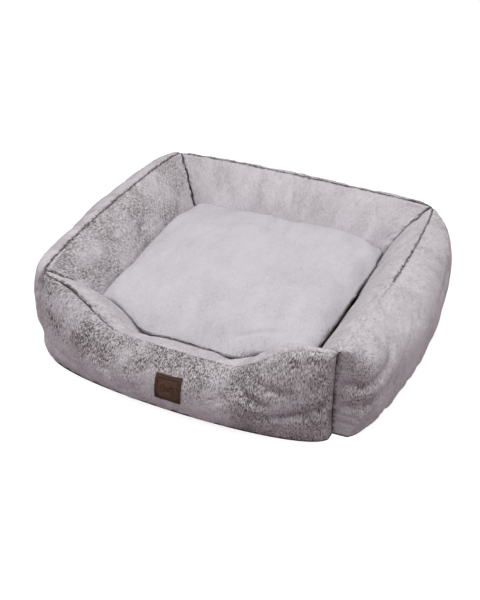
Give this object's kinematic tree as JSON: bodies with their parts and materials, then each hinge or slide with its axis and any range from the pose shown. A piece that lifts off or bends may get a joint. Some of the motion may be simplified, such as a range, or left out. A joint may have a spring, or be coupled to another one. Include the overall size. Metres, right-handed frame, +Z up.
{
  "type": "pet cushion bed",
  "caption": "Rectangular plush pet bed with stuffed sloping walls, a low front entrance and a loose plush cushion.",
  "frame": {"origin": "on the floor, at the centre of the bed's outline", "axes": "+X the bed's right seen from the entrance, +Y the rear, +Z up; the entrance faces -Y"},
  "size_m": [0.7019, 0.6331, 0.198],
  "materials": {
    "plush_outer": "short-pile plush, silvery warm grey, darker where the pile parts",
    "plush_inner": "short-pile plush, silvery warm grey, darker where the pile parts",
    "plush_cushion": "soft short-pile plush, pale silver grey, smooth nap",
    "floor_fabric": "plain woven lining, pale grey",
    "underside_fabric": "coarse woven underside, dark grey, with small rubber grip dots",
    "stuffing": "polyester fibre stuffing, off-white",
    "base_foam": "needled fibre pad, off-white",
    "seam_thread": "sewn seam, thread a shade darker than the plush",
    "leatherette": "brown leatherette with a tooled border",
    "leather_thread": "dark brown polyester stitching"
  },
  "bodies": {
    "bed_shell": {"underside_fabric": "underside_fabric", "base_pad": "base_foam", "floor_panel": "floor_fabric", "hem_seam": "seam_thread", "well_seam": "seam_thread", "front_outer_panel": "plush_outer", "right_outer_panel": "plush_outer", "rear_outer_panel": "plush_outer", "left_outer_panel": "plush_outer", "front_inner_panel": "plush_inner", "right_inner_panel": "plush_inner", "rear_inner_panel": "plush_inner", "left_inner_panel": "plush_inner", "front_fill": "stuffing", "right_fill": "stuffing", "rear_fill": "stuffing", "left_fill": "stuffing", "front_ridge_seam": "seam_thread", "right_ridge_seam": "seam_thread", "rear_ridge_seam": "seam_thread", "left_ridge_seam": "seam_thread", "front_left_outer_seam": "seam_thread", "front_right_outer_seam": "seam_thread", "rear_right_outer_seam": "seam_thread", "rear_left_outer_seam": "seam_thread", "front_left_inner_seam": "seam_thread", "front_right_inner_seam": "seam_thread", "rear_right_inner_seam": "seam_thread", "rear_left_inner_seam": "seam_thread", "label_patch": "leatherette", "label_stitching": "leather_thread"},
    "cushion": {"cushion_top_cover": "plush_cushion", "cushion_bottom_cover": "plush_cushion", "cushion_fill": "stuffing", "cushion_edge_seam": "seam_thread"}
  },
  "joints": [
    {"name": "cushion_lift", "type": "slide", "parent": "bed_shell", "child": "cushion", "axis": [0, 0, 1], "range_m": [0, 0.26]}
  ]
}
